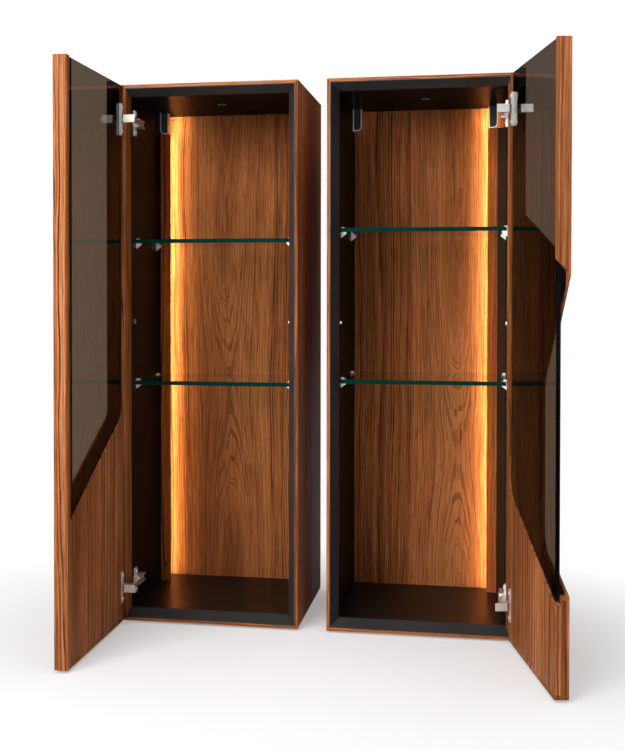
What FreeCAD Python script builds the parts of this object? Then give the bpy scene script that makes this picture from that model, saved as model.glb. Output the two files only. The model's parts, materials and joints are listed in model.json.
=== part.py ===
import FreeCAD, Part
import Sketcher
import os
import re

# A mirrored pair of wall-hung walnut display cabinets with glass shelves and glazed doors.
# Millimetres. The wall is the plane y = 0, the fronts face -y, z = 0 is the cabinets' underside,
# and x = 0 is the middle of the gap between the two cabinets.

SIZES = [
    ("height", 1060, "cabinet height"),
    ("width", 350, "cabinet width"),
    ("depth", 350, "cabinet depth, wall to front edge"),
    ("gap", 56, "gap between the two cabinets"),
    ("skin", 6, "walnut outer board"),
    ("lining", 15, "black lining board"),
    ("hinge_lining", 5, "black lining board on the hinge side"),
    ("frame_depth", 25, "depth of the bevelled front frame"),
    ("frame_lip", 1.5, "front thickness of the bevelled front frame"),
    ("back_setback", 24, "wall to the face of the back panel"),
    ("back_board", 8, "back panel thickness"),
    ("pelmet_width", 20, "light pelmet width"),
    ("filler_width", 17, "black filler block beside the right light pelmet"),
    ("pelmet_board", 8, "light pelmet thickness"),
    ("left_pelmet_stand", 66, "left light pelmet front to back panel face"),
    ("right_pelmet_stand", 40, "right light pelmet front to back panel face"),
    ("profile_width", 9, "light profile width"),
    ("light_throw", 11, "light diffuser to back panel face"),
    ("diffuser_width", 7, "light diffuser width"),
    ("diffuser_height", 1, "light diffuser thickness"),
    ("glass_shelf", 8, "shelf thickness"),
    ("shelf_setback", 34, "shelf front edge behind the cabinet front"),
    ("shelf_back_gap", 4, "shelf back edge to pelmet front"),
    ("shelf_end_gap", 1.5, "shelf end to side lining"),
    ("left_upper_shelf", 749, "underside of the upper shelf, left cabinet"),
    ("left_lower_shelf", 466, "underside of the lower shelf, left cabinet"),
    ("right_upper_shelf", 768, "underside of the upper shelf, right cabinet"),
    ("right_lower_shelf", 474, "underside of the lower shelf, right cabinet"),
    ("clip_length", 10, "shelf clip length along the shelf end"),
    ("clip_reach", 10, "shelf clip lower jaw reach"),
    ("clip_pad", 6, "shelf clip upper jaw reach"),
    ("clip_web", 1.2, "shelf clip web thickness"),
    ("clip_play", 0.2, "play above the shelf in its clip"),
    ("clip_top", 2, "shelf clip upper jaw thickness"),
    ("clip_nose", 2, "shelf clip lower jaw thickness at its end"),
    ("clip_drop", 10, "shelf clip lower jaw height at the wall"),
    ("clip_inset", 26, "shelf clips from the shelf's front and back edges"),
    ("hanger_width", 18, "hanging bracket width"),
    ("hanger_height", 46, "hanging bracket height"),
    ("hanger_depth", 44, "hanging bracket depth on the free side"),
    ("hanger_cover", 18, "hanging bracket depth on the hinge side"),
    ("hanger_proud", 4, "hanging bracket in front of the light pelmet"),
    ("hanger_corner", 9, "rounding of the bracket's lower corner on the hinge side"),
    ("hanger_rim", 1.8, "hanging bracket rim round its black insert"),
    ("hanger_recess", 1.5, "black insert behind the bracket's rim"),
    ("insert_board", 4, "black bracket insert thickness"),
    ("insert_play", 0.2, "play round the insert in the bracket"),
    ("hook_width", 12, "hanging hook width"),
    ("hook_plate", 4, "hanging hook thickness"),
    ("hook_drop", 8, "hanging hook down-turn behind the rail lip"),
    ("hook_play", 0.5, "play between hook and rail lip"),
    ("slot_play", 1, "play round the hook in the back panel"),
    ("rail_plate", 3, "wall rail thickness"),
    ("rail_height", 34, "wall rail height on the wall"),
    ("rail_lip", 10, "wall rail hook lip height"),
    ("rail_stand", 10, "wall rail lip front to wall"),
    ("rail_below_top", 38, "wall rail web below the cabinet top"),
    ("rail_inset", 20, "wall rail ends inside the side boards"),
    ("rail_hole", 6.5, "wall rail screw hole diameter"),
    ("rail_hole_span", 224, "distance between the rail's two screw holes"),
    ("rail_hole_drop", 18, "rail screw holes below the rail web"),
    ("sensor_radius", 10, "light sensor radius"),
    ("sensor_height", 2, "light sensor height below the top lining"),
    ("sensor_setback", 150, "light sensor behind the cabinet front"),
    ("cap_radius", 5, "side cap radius"),
    ("cap_height", 3, "side cap height"),
    ("cap_level", 592, "side caps above the underside"),
    ("cap_setback", 44, "side caps behind the cabinet front"),
    ("grommet_radius", 5, "cable grommet radius"),
    ("grommet_height", 3, "cable grommet height on the pelmet"),
    ("grommet_level", 58, "cable grommet above the underside"),
    ("hinge_inset", 70, "hinge centres from the top and the underside"),
    ("door_board", 24, "door thickness"),
    ("door_reveal", 1, "door edges inside the cabinet outline"),
    ("door_gap", 2.5, "closed door to cabinet front"),
    ("left_open", 90, "left door opening angle as it rests"),
    ("right_open", 100.9, "right door opening angle as it rests"),
    ("pin_along", 21.8, "hinge pin from the door's hinge edge"),
    ("pin_behind", 20.3, "hinge pin behind the door's inner face"),
    ("arm_travel", 45.3, "hinge arm travel over the full opening"),
    ("full_opening", 100, "opening angle of the full arm travel"),
    ("pin_radius", 2, "hinge pin radius"),
    ("eye_play", 0.05, "radial play of the pin in the arm's eye"),
    ("ear_play", 0.02, "radial play of the pin in the door plate's ears"),
    ("arm_board", 6, "hinge arm thickness"),
    ("arm_height", 9, "hinge arm height"),
    ("arm_length", 90, "hinge arm length behind the pin"),
    ("eye_radius", 5, "hinge arm eye radius"),
    ("ear_half", 4, "door plate ear half width"),
    ("ear_board", 2.5, "door plate ear thickness"),
    ("ear_gap", 0.4, "ear to arm"),
    ("plate_height", 62, "door plate height"),
    ("plate_width", 9, "door plate width"),
    ("plate_board", 3, "door plate thickness above the wood face"),
    ("plate_clear", 0.8, "door plate to the hinge-side lining when the door is closed"),
    ("cover_board", 1.5, "hinge cover thickness"),
    ("cover_clear", 1, "hinge cover to the arm's eye"),
    ("cover_near", 12, "hinge cover from the pin towards the door"),
    ("cover_far", 10.5, "hinge cover from the pin away from the door"),
    ("mount_start", 38, "mounting plate front end behind the cabinet front"),
    ("mount_length", 46, "mounting plate length"),
    ("mount_cheek", 3, "mounting plate cheek thickness"),
    ("mount_cheek_rise", 4.5, "mounting plate cheek height beside the arm"),
    ("mount_play", 0.4, "play of the arm in the mounting plate"),
    ("wing_span", 50, "mounting plate wing span"),
    ("wing_length", 14, "mounting plate wing length"),
    ("wing_board", 4, "mounting plate wing thickness"),
    ("wing_start", 42, "mounting plate wing behind the cabinet front"),
    ("screw_radius", 3.5, "screw head radius"),
    ("screw_head", 1.2, "screw head height"),
    ("wing_screw_span", 36, "distance between the two wing screws"),
    ("plate_screw_span", 46, "distance between the two door plate screws"),
    ("face_board", 4, "door outer walnut board"),
    ("core_board", 10, "door black core"),
    ("edge_strip", 17, "door free-edge stile width"),
    ("edge_bevel", 3, "bevel on the inner arris of the free-edge stile"),
    ("stile_lip", 7, "right door free-edge stile, width of its lip beside the pane"),
    ("bottom_strip", 8, "door bottom edging height"),
    ("core_stile", 60, "door core stile on the hinge side"),
    ("core_free", 30, "left door core strip along the free-edge stile"),
    ("inner_stile", 3, "door inner board strip on the hinge side"),
    ("corner_round", 36, "rounding where a glass edge meets the hinge side"),
    ("pane_gap", 1.5, "gap round a door pane"),
    ("pane_top_gap", 1, "door pane below the top of the door"),
    ("pane_seat", 25, "core above the slanted edge, behind the pane"),
    ("door_pane", 7.5, "door pane thickness"),
    ("left_slant_hinge", 411, "left door slanted edge at the hinge side"),
    ("left_slant_free", 245, "left door slanted edge at the free side"),
    ("right_slant_hinge", 279, "right door slanted edge at the hinge side"),
    ("right_slant_free", 151, "right door slanted edge at the free side"),
    ("window_hinge", 806, "right door window edge at the hinge side"),
    ("window_free", 702, "right door window edge at the free side"),
    ("grip_below_window", 22, "right door grip recess top below the window edge, at the free edge"),
    ("grip_head", 180, "right door grip recess, height of its slanted top"),
    ("grip_ceiling", 19, "right door grip recess, rise of its ceiling from the face to the inner side"),
    ("grip_rise", 219, "right door grip recess bottom at its deepest"),
    ("grip_bottom", 165, "right door grip recess bottom at the free edge"),
    ("grip_reach", 147, "right door grip recess depth from the free edge"),
    ("grip_round", 40, "right door grip recess corner rounding"),
    ("grip_undercut", 6, "right door grip recess undercut behind its lip"),
]

doc = FreeCAD.newDocument("DisplayCabinets")
sheet = doc.addObject("Spreadsheet::Sheet", "Sizes")
for row, (alias, value, meaning) in enumerate(SIZES, start=1):
    sheet.set(f"A{row}", meaning)
    sheet.set(f"B{row}", str(value))
    sheet.setAlias(f"B{row}", alias)
doc.recompute()

ALIASES = {alias for alias, value, meaning in SIZES}
WORD = re.compile(r"[A-Za-z_]+")
nodes = {}


def bind(thing, prop, text):
    """Binds a property to an expression written with the sheet's aliases."""
    full = WORD.sub(lambda word: f"Sizes.{word[0]}" if word[0] in ALIASES else word[0], text)
    thing.setExpression(prop, full)


def keep(label, thing):
    """Names a finished sub-part, which becomes a file of its own."""
    thing.Label = label
    nodes[label] = thing
    return thing


class Frame:
    """A place to build in: along runs from the hinge side to the free side, inward goes to the wall."""

    def __init__(self, name, sign, x, y, z, angle):
        self.name = name
        self.sign = sign
        self.origin = (x, y, z)
        self.angle = angle

    def side(self, text):
        return f"({text})" if self.sign > 0 else f"(-({text}))"

    def place(self, thing, along, inward, up, turned="0"):
        """Places a thing; turned is its extent along, which a mirrored frame takes off."""
        start = along if self.sign > 0 else f"{along} + {turned}"
        local_x = self.side(start)
        cos_a = f"cos({self.angle} * 1 deg)"
        sin_a = f"sin({self.angle} * 1 deg)"
        turn = -1 * self.sign
        x, y, z = self.origin
        thing.Placement = FreeCAD.Placement(FreeCAD.Vector(), FreeCAD.Rotation(FreeCAD.Vector(0, 0, 1), turn))
        bind(thing, "Placement.Rotation.Angle", f"{turn} * {self.angle}")
        bind(thing, "Placement.Base.x", f"{x} + {local_x} * {cos_a} - {turn} * ({inward}) * {sin_a}")
        bind(thing, "Placement.Base.y", f"{y} + {turn} * {local_x} * {sin_a} + ({inward}) * {cos_a}")
        bind(thing, "Placement.Base.z", f"{z} + ({up})")

    def box(self, name, along, inward, up, length, width, height):
        box = doc.addObject("Part::Box", f"{self.name}_{name}")
        bind(box, "Length", length)
        bind(box, "Width", width)
        bind(box, "Height", height)
        self.place(box, along, inward, up, length)
        return box

    def upright(self, name, along, inward, up, radius, height):
        """A vertical cylinder."""
        pin = doc.addObject("Part::Cylinder", f"{self.name}_{name}")
        bind(pin, "Radius", radius)
        bind(pin, "Height", height)
        self.place(pin, along, inward, up)
        return pin

    def sketch(self, body, name, plane, points, offset=None):
        """A closed outline on an origin plane of the body, each corner held at its two distances."""
        sketch = body.newObject("Sketcher::SketchObject", f"{body.Name}_{name}")
        support = next(f for f in body.Origin.OriginFeatures if f.Role == plane)
        sketch.AttachmentSupport = [(support, "")]
        sketch.MapMode = "FlatFace"
        if offset:
            bind(sketch, "AttachmentOffset.Base.z", offset)
        count = len(points)
        rough = [FreeCAD.Vector(10, 0, 0)]
        for i in range(1, count):
            rough.append(FreeCAD.Rotation(FreeCAD.Vector(0, 0, 1), 360 * i / count).multVec(rough[0]))
        for i in range(count):
            sketch.addGeometry(Part.LineSegment(rough[i], rough[(i + 1) % count]), False)
        for i in range(count):
            sketch.addConstraint(Sketcher.Constraint("Coincident", i, 2, (i + 1) % count, 1))
        for i, (across, up) in enumerate(points):
            for kind, text, start in (("DistanceX", across, rough[i].x), ("DistanceY", up, rough[i].y)):
                index = sketch.addConstraint(Sketcher.Constraint(kind, -1, 1, i, 1, start))
                bind(sketch, f"Constraints[{index}]", text)
        return sketch

    def board(self, name, points, inward, thickness, up="0", rounds=()):
        """A board whose outline is drawn from the front, thickness going inward from its front face."""
        body = doc.addObject("PartDesign::Body", f"{self.name}_{name}")
        outline = [(self.side(along), height) for along, height in points]
        sketch = self.sketch(body, "outline", "XZ_Plane", outline)
        pad = body.newObject("PartDesign::Pad", f"{body.Name}_pad")
        pad.Profile = sketch
        pad.Reversed = True
        bind(pad, "Length", thickness)
        for corner, radius in rounds:
            self.round(body, sketch, corner, radius)
        self.place(body, "0", inward, up)
        return body

    def round(self, body, sketch, corner, radius):
        """Rounds the edge that runs through the board at one corner of its outline."""
        doc.recompute()
        point = sketch.getPoint(corner, 1)
        base = body.Tip
        names = []
        for number, edge in enumerate(base.Shape.Edges, start=1):
            first = edge.Vertexes[0].Point
            last = edge.Vertexes[-1].Point
            through = abs(first.x - last.x) + abs(first.z - last.z) < 1e-6
            if through and abs(first.x - point.x) + abs(first.z - point.y) < 1e-4:
                names.append(f"Edge{number}")
        fillet = body.newObject("PartDesign::Fillet", f"{body.Name}_round_{corner}")
        fillet.Base = (base, names)
        bind(fillet, "Radius", radius)
        doc.recompute()

    def strip(self, name, front, back):
        """A bevelled, mitred strip between two outlines, at the front edge and one frame depth behind it."""
        body = doc.addObject("PartDesign::Body", f"{self.name}_{name}")
        outlines = []
        for end, points, offset in (("front", front, None), ("back", back, "-frame_depth")):
            outline = [(self.side(along), height) for along, height in points]
            outlines.append(self.sketch(body, end, "XZ_Plane", outline, offset))
        loft = body.newObject("PartDesign::AdditiveLoft", f"{body.Name}_loft")
        loft.Profile = outlines[0]
        loft.Sections = [outlines[1]]
        loft.Ruled = True
        self.place(body, "0", "0", "0")
        return body

    def post(self, name, points, height, up="0"):
        """An upright whose section is drawn from above, as places along and inward."""
        body = doc.addObject("PartDesign::Body", f"{self.name}_{name}")
        section = [(self.side(along), inward) for along, inward in points]
        pad = body.newObject("PartDesign::Pad", f"{body.Name}_pad")
        pad.Profile = self.sketch(body, "section", "XY_Plane", section)
        bind(pad, "Length", height)
        self.place(body, "0", "0", up)
        return body

    def bar(self, name, along, points, length):
        """A bar whose section is drawn from its end, as places inward and up, running along."""
        body = doc.addObject("PartDesign::Body", f"{self.name}_{name}")
        pad = body.newObject("PartDesign::Pad", f"{body.Name}_pad")
        pad.Profile = self.sketch(body, "section", "YZ_Plane", points)
        pad.Reversed = self.sign < 0
        bind(pad, "Length", length)
        self.place(body, along, "0", "0")
        return body

    def disc(self, name, along, inward, up, radius, height, facing):
        """A round piece whose axis runs along, inward or up, from its seat."""
        disc = doc.addObject("PartDesign::Body", f"{self.name}_{name}")
        plane = {"along": "YZ_Plane", "inward": "XZ_Plane", "up": "XY_Plane"}[facing]
        sketch = disc.newObject("Sketcher::SketchObject", f"{disc.Name}_circle")
        support = next(f for f in disc.Origin.OriginFeatures if f.Role == plane)
        sketch.AttachmentSupport = [(support, "")]
        sketch.MapMode = "FlatFace"
        sketch.addGeometry(Part.Circle(FreeCAD.Vector(), FreeCAD.Vector(0, 0, 1), 1), False)
        sketch.addConstraint(Sketcher.Constraint("Coincident", 0, 3, -1, 1))
        bind(sketch, f"Constraints[{sketch.addConstraint(Sketcher.Constraint('Radius', 0, 1))}]", radius)
        pad = disc.newObject("PartDesign::Pad", f"{disc.Name}_pad")
        pad.Profile = sketch
        pad.Reversed = facing == "inward" or (facing == "along" and self.sign < 0)
        bind(pad, "Length", height)
        self.place(disc, along, inward, up)
        return disc


def fuse(name, things):
    joined = doc.addObject("Part::MultiFuse", name)
    joined.Shapes = things
    joined.Refine = True
    return joined


def cut(name, base, tools):
    for number, tool in enumerate(tools):
        rest = doc.addObject("Part::Cut", f"{name}_{number}")
        rest.Base = base
        rest.Tool = tool
        base = rest
    return base


def group(label, things):
    """Alike pieces that share one node as separate solids."""
    whole = doc.addObject("Part::Compound", f"{label}_group")
    whole.Links = things
    return keep(label, whole)


# Places shared by many pieces, measured from the hinge-side outer face, the front edge and the underside.
HINGE_WALL = "(skin + hinge_lining)"
FREE_WALL = "(width - skin - lining)"
FLOOR = "(skin + lining)"
CEILING = "(height - skin - lining)"
BACK_FACE = "(depth - back_setback)"
PELMET_STARTS = {"left": HINGE_WALL, "right": f"({HINGE_WALL} + filler_width)"}
BRACKET_FOOT = "(height - skin - lining - hanger_height)"
DOOR_WIDTH = "(width - 2 * door_reveal)"
DOOR_HEIGHT = "(height - 2 * door_reveal)"
PIN_ALONG = "(door_reveal + pin_along)"
HINGE_LEVELS = {"lower": "hinge_inset", "upper": "(height - hinge_inset)"}
RAIL_WEB = "(height - rail_below_top)"
CORE_BACK = "(-door_board + face_board + core_board)"

cabinets = {
    "left": Frame("left", 1, "-(gap / 2 + width)", "-depth", "0", "0"),
    "right": Frame("right", -1, "(gap / 2 + width)", "-depth", "0", "0"),
}


def pelmet_front(hand):
    """How far behind the cabinet front the light pelmet's face lies."""
    return f"(depth - back_setback - {hand}_pelmet_stand)"


def pin_inward(hand):
    """How far behind the cabinet front the hinge pin lies at the resting opening angle."""
    return f"(pin_behind - door_gap - arm_travel * {hand}_open / full_opening)"


def door_frame(hand):
    """The frame of a resting door: its origin is the inner corner of the hinge edge, at the door's foot."""
    cabinet = cabinets[hand]
    cos_a = f"cos({hand}_open * 1 deg)"
    sin_a = f"sin({hand}_open * 1 deg)"
    x = f"({cabinet.origin[0]} + {cabinet.side(f'{PIN_ALONG} - pin_along * {cos_a} - pin_behind * {sin_a}')})"
    y = f"(-depth + {pin_inward(hand)} + pin_along * {sin_a} - pin_behind * {cos_a})"
    return Frame(f"{hand}_door", cabinet.sign, x, y, "door_reveal", f"{hand}_open")


doors = {hand: door_frame(hand) for hand in cabinets}


def rectangle(along, low, length, high):
    return [(along, low), (f"{along} + {length}", low), (f"{along} + {length}", high), (along, high)]


def build_carcass(hand):
    """Mitred walnut boards, black lining boards inside them and the bevelled front edge."""
    frame = cabinets[hand]
    outer = {"hinge": "0", "free": "width", "low": "0", "high": "height"}
    inner = {"hinge": "skin", "free": "(width - skin)", "low": "skin", "high": "(height - skin)"}
    lined = {"hinge": HINGE_WALL, "free": FREE_WALL, "low": FLOOR, "high": CEILING}
    narrow = "frame_lip * hinge_lining / lining"
    lip = {"hinge": f"(skin + {narrow})", "free": "(width - skin - frame_lip)",
           "low": "(skin + frame_lip)", "high": "(height - skin - frame_lip)"}

    def wall(which, around, within):
        """One of the four walls between two rectangles, with its mitred ends."""
        ends = {"side_hinge": [("hinge", "low"), ("hinge", "high")],
                "side_free": [("free", "high"), ("free", "low")],
                "top": [("hinge", "high"), ("free", "high")],
                "bottom": [("free", "low"), ("hinge", "low")]}[which]
        (a, b), (c, d) = ends
        return [(around[a], around[b]), (around[c], around[d]),
                (within[c], within[d]), (within[a], within[b])]

    for which, label in (("side_hinge", "side_hinge"), ("side_free", "side_free"),
                         ("top", "top_panel"), ("bottom", "bottom_panel")):
        keep(f"{hand}_{label}", frame.board(label, wall(which, outer, inner), "0", "depth"))
    for which, label in (("side_hinge", "lining_hinge"), ("side_free", "lining_free"),
                         ("top", "lining_top"), ("bottom", "lining_bottom")):
        run = f"{BACK_FACE} - frame_depth"
        keep(f"{hand}_{label}", frame.board(label, wall(which, inner, lined), "frame_depth", run))
    strips = {which: frame.strip(f"frame_{which}", wall(which, inner, lip), wall(which, inner, lined))
              for which in ("side_hinge", "side_free", "top", "bottom")}
    keep(f"{hand}_hinge_trim", strips.pop("side_hinge"))
    group(f"{hand}_front_frame", list(strips.values()))


def bracket_starts(hand):
    """Where the two hanging brackets of a cabinet begin: above the pelmet and at the free-side lining."""
    return {"hinge": PELMET_STARTS[hand], "free": f"({FREE_WALL} - hanger_width)"}


def hook_box(frame, name, start, front, play):
    """The straight shank of a hanging hook, from front through the back panel to the rail."""
    along = f"{start} + (hanger_width - hook_width) / 2 - {play}"
    up = f"{RAIL_WEB} + rail_lip - {play}"
    reach = f"depth - rail_plate - hook_play - {front} + {play}"
    return frame.box(name, along, front, up,
                     f"hook_width + 2 * {play}", reach, f"hook_plate + 2 * {play}")


def build_back(hand):
    """The figured back panel with slots for the hanging hooks."""
    frame = cabinets[hand]
    outline = rectangle("skin", "skin", "(width - 2 * skin)", "(height - skin)")
    panel = frame.board("back_blank", outline, BACK_FACE, "back_board")
    slots = [hook_box(frame, f"slot_{end}", start, BACK_FACE, "slot_play")
             for end, start in bracket_starts(hand).items()]
    keep(f"{hand}_back_panel", cut(f"{hand}_back_slotted", panel, slots))


def hanging_brackets(hand):
    """Housings in the top back corners: each has a hook behind the wall rail's lip and a black insert."""
    frame = cabinets[hand]
    brackets = []
    inserts = []

    def front_board(name, start, inset, front, run):
        """A board inside the bracket's outline, inset at its foot and sides, from front inward."""
        outline = rectangle(f"{start} + {inset}", f"{BRACKET_FOOT} + {inset}",
                            f"hanger_width - 2 * {inset}", CEILING)
        return frame.board(name, outline, front, run, rounds=[(0, f"hanger_corner - {inset}")])

    spans = {"hinge": (f"({pelmet_front(hand)} - hanger_proud)", "hanger_cover"),
             "free": (f"({BACK_FACE} - hanger_depth)", "hanger_depth")}
    for end, start in bracket_starts(hand).items():
        front, run = spans[end]
        solid = front_board(f"bracket_{end}", start, "0", front, run)
        pocket = front_board(f"pocket_{end}", start, "hanger_rim", front, "hanger_recess + insert_board")
        housing = cut(f"{hand}_bracket_cup_{end}", solid, [pocket])
        inserts.append(front_board(f"insert_{end}", start, "(hanger_rim + insert_play)",
                                   f"{front} + hanger_recess", "insert_board"))
        shank = hook_box(frame, f"hook_{end}", start, f"({front} + {run})", "0")
        along = f"{start} + (hanger_width - hook_width) / 2"
        drop_start = "depth - rail_stand + rail_plate + hook_play"
        drop_width = "rail_stand - 2 * rail_plate - 2 * hook_play"
        drop_foot = f"{RAIL_WEB} + rail_lip - hook_drop"
        drop = frame.box(f"drop_{end}", along, drop_start, drop_foot, "hook_width", drop_width, "hook_drop")
        brackets.append(fuse(f"{hand}_hanger_{end}", [housing, shank, drop]))
    return brackets, inserts


def wall_rail(hand):
    """A folded steel rail: a strip on the wall, a web standing off it and a lip that carries the hooks."""
    frame = cabinets[hand]
    length = "(width - 2 * rail_inset)"
    on_wall = frame.box("rail_strip", "rail_inset", "depth - rail_plate", f"{RAIL_WEB} - rail_height",
                        length, "rail_plate", "rail_height")
    web = frame.box("rail_web", "rail_inset", "depth - rail_stand", f"{RAIL_WEB} - rail_plate",
                    length, "rail_stand", "rail_plate")
    lip = frame.box("rail_lip", "rail_inset", "depth - rail_stand", f"{RAIL_WEB} - rail_plate",
                    length, "rail_plate", "rail_lip + rail_plate")
    holes = []
    for number, shift in enumerate(("-rail_hole_span / 2", "rail_hole_span / 2")):
        up = f"{RAIL_WEB} - rail_hole_drop"
        holes.append(frame.disc(f"rail_hole_{number}", f"width / 2 + {shift}", "depth - rail_plate", up,
                                "rail_hole / 2", "rail_plate", "inward"))
    return cut(f"{hand}_rail", fuse(f"{hand}_rail_folded", [on_wall, web, lip]), holes)


def build_light(hand):
    """A walnut pelmet on the hinge side, and behind it a profile whose diffuser shines on the back panel."""
    frame = cabinets[hand]
    tall = f"({BRACKET_FOOT} - {FLOOR})"
    keep(f"{hand}_light_pelmet",
         frame.box("pelmet", PELMET_STARTS[hand], pelmet_front(hand), FLOOR,
                   "pelmet_width", "pelmet_board", tall))
    if hand == "right":
        keep("right_light_filler", frame.box("filler", HINGE_WALL, pelmet_front(hand), FLOOR,
                                             "filler_width", "right_pelmet_stand", tall))
    pelmet_back = f"({pelmet_front(hand)} + pelmet_board)"
    profile_end = f"({BACK_FACE} - light_throw - diffuser_height)"
    keep(f"{hand}_light_profile",
         frame.box("profile", PELMET_STARTS[hand], pelmet_back, FLOOR,
                   "profile_width", f"{profile_end} - {pelmet_back}", tall))
    diffuser_start = f"{PELMET_STARTS[hand]} + (profile_width - diffuser_width) / 2"
    keep(f"{hand}_light_diffuser",
         frame.box("diffuser", diffuser_start, profile_end, FLOOR,
                   "diffuser_width", "diffuser_height", tall))


def build_shelves(hand):
    """Two clear glass shelves between the side linings."""
    frame = cabinets[hand]
    length = f"{FREE_WALL} - {HINGE_WALL} - 2 * shelf_end_gap"
    reach = f"{pelmet_front(hand)} - shelf_back_gap - shelf_setback"
    for level in ("upper", "lower"):
        shelf = frame.box(f"shelf_{level}", f"{HINGE_WALL} + shelf_end_gap", "shelf_setback",
                          f"{hand}_{level}_shelf", length, reach, "glass_shelf")
        keep(f"{hand}_shelf_{level}", shelf)


def shelf_clips(hand):
    """Metal clips that hold each shelf by its ends: a bracket below, a pad above."""
    frame = cabinets[hand]
    clips = []
    rear = f"({pelmet_front(hand)} - shelf_back_gap - clip_inset - clip_length)"
    for level in ("upper", "lower"):
        seat = f"{hand}_{level}_shelf"
        top = f"{seat} + glass_shelf + clip_play"
        for end, wall, out in (("hinge", HINGE_WALL, "+"), ("free", FREE_WALL, "-")):
            outline = [(wall, f"{seat} - clip_drop"), (f"{wall} {out} clip_reach", f"{seat} - clip_nose"),
                       (f"{wall} {out} clip_reach", seat), (f"{wall} {out} clip_web", seat),
                       (f"{wall} {out} clip_web", top), (f"{wall} {out} clip_pad", top),
                       (f"{wall} {out} clip_pad", f"{top} + clip_top"), (wall, f"{top} + clip_top")]
            for row, inward in (("front", "(shelf_setback + clip_inset)"), ("rear", rear)):
                clips.append(frame.board(f"clip_{level}_{end}_{row}", outline, inward, "clip_length"))
    return clips


def mounting_plates(hand):
    """Hinge plates screwed to the hinge-side lining: a channel for the arm and two wings."""
    frame = cabinets[hand]
    base_rise = f"({PIN_ALONG} - arm_board / 2 - mount_play - {HINGE_WALL})"
    half = "(arm_height / 2 + mount_play)"
    plates = []
    for level, centre in HINGE_LEVELS.items():
        base = frame.box(f"mount_base_{level}", HINGE_WALL, "mount_start", f"{centre} - {half} - mount_cheek",
                         base_rise, "mount_length", f"2 * {half} + 2 * mount_cheek")
        feet = {"low": f"{centre} - {half} - mount_cheek", "high": f"{centre} + {half}"}
        cheeks = [frame.box(f"mount_cheek_{level}_{end}", HINGE_WALL, "mount_start", foot,
                            f"{base_rise} + mount_cheek_rise", "mount_length", "mount_cheek")
                  for end, foot in feet.items()]
        wing = frame.box(f"mount_wing_{level}", HINGE_WALL, "wing_start", f"{centre} - wing_span / 2",
                         "wing_board", "wing_length", "wing_span")
        plates.append(fuse(f"{hand}_mounting_plate_{level}", [base, *cheeks, wing]))
    return plates


def mounting_screws(hand):
    """Screw heads on the wings of the mounting plates."""
    frame = cabinets[hand]
    seat = f"{HINGE_WALL} + wing_board"
    inward = "wing_start + wing_length / 2"
    return [frame.disc(f"wing_screw_{level}_{end}", seat, inward, f"{centre} {sign} wing_screw_span / 2",
                       "screw_radius", "screw_head", "along")
            for level, centre in HINGE_LEVELS.items() for end, sign in (("low", "-"), ("high", "+"))]


def small_fittings(hand):
    """The light sensor in the ceiling and the caps on the side walls."""
    frame = cabinets[hand]
    sensor = frame.disc("sensor", f"({HINGE_WALL} + {FREE_WALL}) / 2", "sensor_setback",
                        f"{CEILING} - sensor_height", "sensor_radius", "sensor_height", "up")
    caps = [frame.disc(f"cap_{end}", along, "cap_setback", "cap_level", "cap_radius", "cap_height", "along")
            for end, along in (("hinge", HINGE_WALL), ("free", f"{FREE_WALL} - cap_height"))]
    return sensor, caps


def cable_grommet():
    """The light's inlet, low on the left pelmet."""
    return cabinets["left"].disc("grommet", f"{HINGE_WALL} + pelmet_width / 2",
                                 f"{pelmet_front('left')} - grommet_height", "grommet_level",
                                 "grommet_radius", "grommet_height", "inward")


def build_hinge_arms(hand):
    """Sliding hinge arms, each with an eye for the pin at its front end."""
    frame = cabinets[hand]
    inward = pin_inward(hand)
    arms = []
    for level, centre in HINGE_LEVELS.items():
        foot = f"{centre} - arm_height / 2"
        bar = frame.box(f"arm_bar_{level}", f"{PIN_ALONG} - arm_board / 2", inward, foot,
                        "arm_board", "arm_length", "arm_height")
        barrel = frame.upright(f"arm_barrel_{level}", PIN_ALONG, inward, foot, "eye_radius", "arm_height")
        bore = frame.upright(f"arm_bore_{level}", PIN_ALONG, inward, foot,
                             "pin_radius + eye_play", "arm_height")
        arms.append(cut(f"{hand}_arm_{level}", fuse(f"{hand}_arm_blank_{level}", [bar, barrel]), [bore]))
    group(f"{hand}_hinge_arms", arms)


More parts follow.
